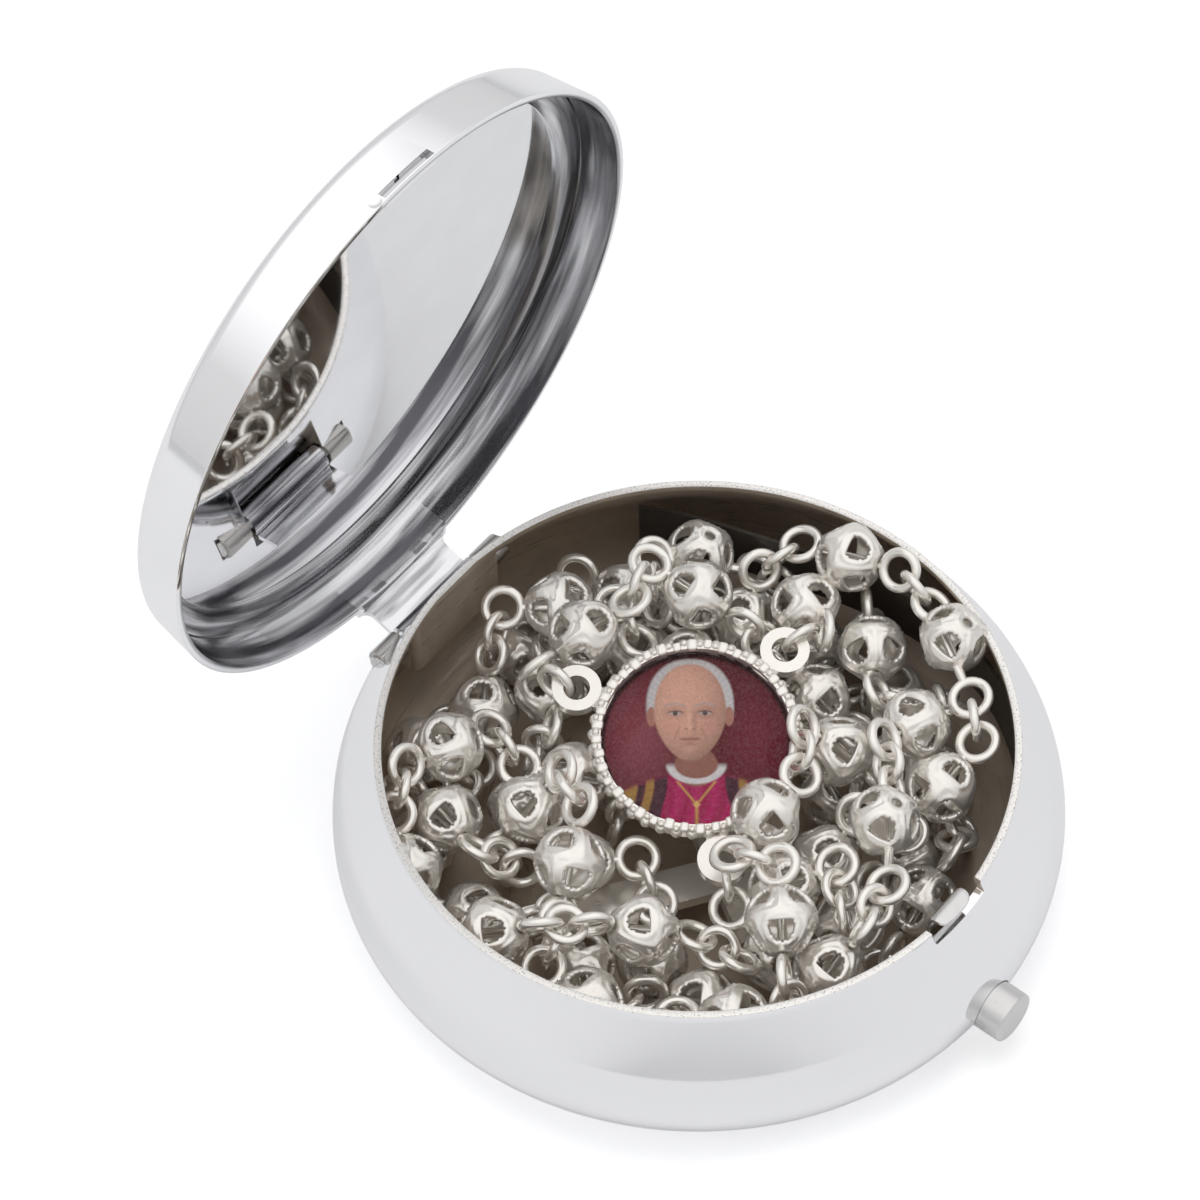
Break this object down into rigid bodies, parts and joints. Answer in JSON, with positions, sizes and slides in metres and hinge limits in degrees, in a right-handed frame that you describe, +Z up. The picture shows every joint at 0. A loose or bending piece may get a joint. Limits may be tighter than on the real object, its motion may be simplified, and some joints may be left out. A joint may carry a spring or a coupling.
{
  "type": "rosary box",
  "caption": "Round sheet-metal keepsake box with a hinged lid, push-button latch and leaf spring, holding a rosary with a domed medal.",
  "frame": {"origin": "centre of the base's flat bottom", "axes": "+Z up, -Y to the push button, +Y to the hinge"},
  "size_m": [0.0577, 0.066, 0.0623],
  "materials": {
    "chrome_sheet": "polished",
    "mirror": "mirror polished",
    "satin_steel": "satin",
    "spring_steel": "dark blued",
    "antique_silver": "cast, lightly darkened",
    "picture": "printed colours",
    "clear_dome": "clear gloss"
  },
  "bodies": {
    "base": {"base_shell": "chrome_sheet", "crucifix": "antique_silver", "crucifix_figure": "antique_silver", "decade_1_beads": "antique_silver", "decade_1_links": "antique_silver", "decade_1_pins": "antique_silver", "decade_2_beads": "antique_silver", "decade_2_links": "antique_silver", "decade_2_pins": "antique_silver", "decade_3_beads": "antique_silver", "decade_3_links": "antique_silver", "decade_3_pins": "antique_silver", "decade_4_beads": "antique_silver", "decade_4_links": "antique_silver", "decade_4_pins": "antique_silver", "decade_5_beads": "antique_silver", "decade_5_links": "antique_silver", "decade_5_pins": "antique_silver", "hinge_knuckle_left": "chrome_sheet", "hinge_knuckle_right": "chrome_sheet", "hinge_pin": "satin_steel", "medal_dome": "clear_dome", "medal_frame": "antique_silver", "medal_picture": "picture", "pendant_beads": "antique_silver", "pendant_links": "antique_silver", "pendant_pins": "antique_silver", "spacer_beads": "antique_silver", "spacer_links": "antique_silver", "spacer_pins": "antique_silver"},
    "lid": {"lid_shell": "chrome_sheet", "lid_mirror_plate": "mirror", "lid_mirror_ring": "chrome_sheet"},
    "latch": {"latch_hook": "satin_steel", "push_button": "satin_steel", "button_rivet": "satin_steel", "latch_spring": "spring_steel"}
  },
  "joints": [
    {"name": "lid_hinge", "type": "hinge", "parent": "base", "child": "lid", "pos_m": [0, 0.0264, 0.0096], "axis": [1, 0, 0], "range_deg": [0, 85]},
    {"name": "button_press", "type": "slide", "parent": "base", "child": "latch", "axis": [0, 1, 0], "range_m": [0, 0.0014], "stiffness_N_per_m": 3000, "deforming": ["latch_spring"]}
  ]
}
